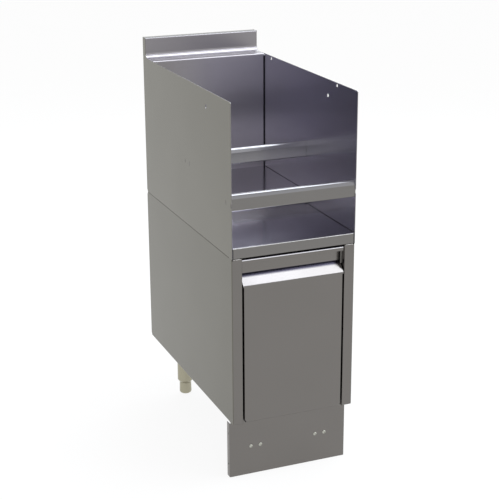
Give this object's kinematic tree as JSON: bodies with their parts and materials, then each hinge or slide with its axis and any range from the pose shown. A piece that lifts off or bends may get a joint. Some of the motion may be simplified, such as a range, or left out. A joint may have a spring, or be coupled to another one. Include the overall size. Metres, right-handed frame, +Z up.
{
  "type": "underbar bottle display cabinet with drawer",
  "caption": "Narrow underbar unit: open stepped bottle bay with two bottle rails and a back splash, over a cabinet with one deep pull-out drawer, on adjustable legs with a kick plate.",
  "frame": {"origin": "on the floor under the middle of the unit", "axes": "+Z up, front faces -Y, width along X"},
  "size_m": [0.3048, 0.6096, 0.9652],
  "materials": {
    "side_steel": "satin stainless sheet",
    "front_steel": "satin stainless sheet",
    "inner_steel": "satin stainless sheet",
    "leg_steel": "satin stainless, warm grey",
    "slide_steel": "zinc plated",
    "rubber_black": "matt black"
  },
  "bodies": {
    "cabinet": {"bay_left_side": "side_steel", "bay_right_side": "side_steel", "back_splash": "inner_steel", "shelf": "inner_steel", "rear_step": "inner_steel", "lower_rail": "inner_steel", "upper_rail": "inner_steel", "cabinet_left_side": "side_steel", "cabinet_right_side": "side_steel", "cabinet_back": "inner_steel", "cabinet_bottom": "inner_steel", "front_header": "front_steel", "rear_header": "inner_steel", "left_slide_bracket": "inner_steel", "right_slide_bracket": "inner_steel", "left_outer_member": "slide_steel", "right_outer_member": "slide_steel", "leg_socket_front_left": "leg_steel", "leg_socket_front_right": "leg_steel", "leg_socket_rear_left": "leg_steel", "leg_socket_rear_right": "leg_steel", "leg_tube_front_left": "leg_steel", "leg_tube_front_right": "leg_steel", "leg_tube_rear_left": "leg_steel", "leg_tube_rear_right": "leg_steel", "leg_insert_front_left": "leg_steel", "leg_insert_front_right": "leg_steel", "leg_insert_rear_left": "leg_steel", "leg_insert_rear_right": "leg_steel", "kick_plate": "front_steel", "left_kick_clip": "slide_steel", "right_kick_clip": "slide_steel", "kick_bolts": "leg_steel", "socket_bolts": "slide_steel", "socket_set_screws": "slide_steel", "bracket_screws": "slide_steel", "seam_screws": "slide_steel", "chase_rivets": "slide_steel"},
    "drawer": {"drawer_front": "front_steel", "drawer_liner": "inner_steel", "drawer_box": "inner_steel", "drawer_bumpers": "rubber_black", "drawer_screws": "slide_steel", "inner_member_screws": "slide_steel", "left_inner_member": "slide_steel", "right_inner_member": "slide_steel"},
    "left_middle": {"left_middle_member": "slide_steel"},
    "right_middle": {"right_middle_member": "slide_steel"},
    "left_outer_retainer": {"left_outer_cage": "slide_steel", "left_outer_balls": "slide_steel"},
    "right_outer_retainer": {"right_outer_cage": "slide_steel", "right_outer_balls": "slide_steel"},
    "left_inner_retainer": {"left_inner_cage": "slide_steel", "left_inner_balls": "slide_steel"},
    "right_inner_retainer": {"right_inner_cage": "slide_steel", "right_inner_balls": "slide_steel"},
    "foot_front_left_body": {"foot_front_left": "leg_steel"},
    "foot_front_right_body": {"foot_front_right": "leg_steel"},
    "foot_rear_left_body": {"foot_rear_left": "leg_steel"},
    "foot_rear_right_body": {"foot_rear_right": "leg_steel"}
  },
  "joints": [
    {"name": "drawer_slide", "type": "slide", "parent": "cabinet", "child": "drawer", "axis": [0, -1, 0], "range_m": [0, 0.48]},
    {"name": "left_middle_slide", "type": "slide", "parent": "cabinet", "child": "left_middle", "axis": [0, -1, 0], "range_m": [0, 0.24]},
    {"name": "left_outer_retainer_slide", "type": "slide", "parent": "cabinet", "child": "left_outer_retainer", "axis": [0, -1, 0], "range_m": [0, 0.12]},
    {"name": "left_inner_retainer_slide", "type": "slide", "parent": "cabinet", "child": "left_inner_retainer", "axis": [0, -1, 0], "range_m": [0, 0.36]},
    {"name": "right_middle_slide", "type": "slide", "parent": "cabinet", "child": "right_middle", "axis": [0, -1, 0], "range_m": [0, 0.24]},
    {"name": "right_outer_retainer_slide", "type": "slide", "parent": "cabinet", "child": "right_outer_retainer", "axis": [0, -1, 0], "range_m": [0, 0.12]},
    {"name": "right_inner_retainer_slide", "type": "slide", "parent": "cabinet", "child": "right_inner_retainer", "axis": [0, -1, 0], "range_m": [0, 0.36]},
    {"name": "foot_front_left_screw", "type": "slide", "parent": "cabinet", "child": "foot_front_left_body", "axis": [0, 0, -1], "range_m": [0, 0.025]},
    {"name": "foot_front_right_screw", "type": "slide", "parent": "cabinet", "child": "foot_front_right_body", "axis": [0, 0, -1], "range_m": [0, 0.025]},
    {"name": "foot_rear_left_screw", "type": "slide", "parent": "cabinet", "child": "foot_rear_left_body", "axis": [0, 0, -1], "range_m": [0, 0.025]},
    {"name": "foot_rear_right_screw", "type": "slide", "parent": "cabinet", "child": "foot_rear_right_body", "axis": [0, 0, -1], "range_m": [0, 0.025]}
  ],
  "couplings": [
    {"joint": "left_middle_slide", "follows": "drawer_slide", "ratio": 0.5},
    {"joint": "left_outer_retainer_slide", "follows": "drawer_slide", "ratio": 0.25},
    {"joint": "left_inner_retainer_slide", "follows": "drawer_slide", "ratio": 0.75},
    {"joint": "right_middle_slide", "follows": "drawer_slide", "ratio": 0.5},
    {"joint": "right_outer_retainer_slide", "follows": "drawer_slide", "ratio": 0.25},
    {"joint": "right_inner_retainer_slide", "follows": "drawer_slide", "ratio": 0.75}
  ]
}
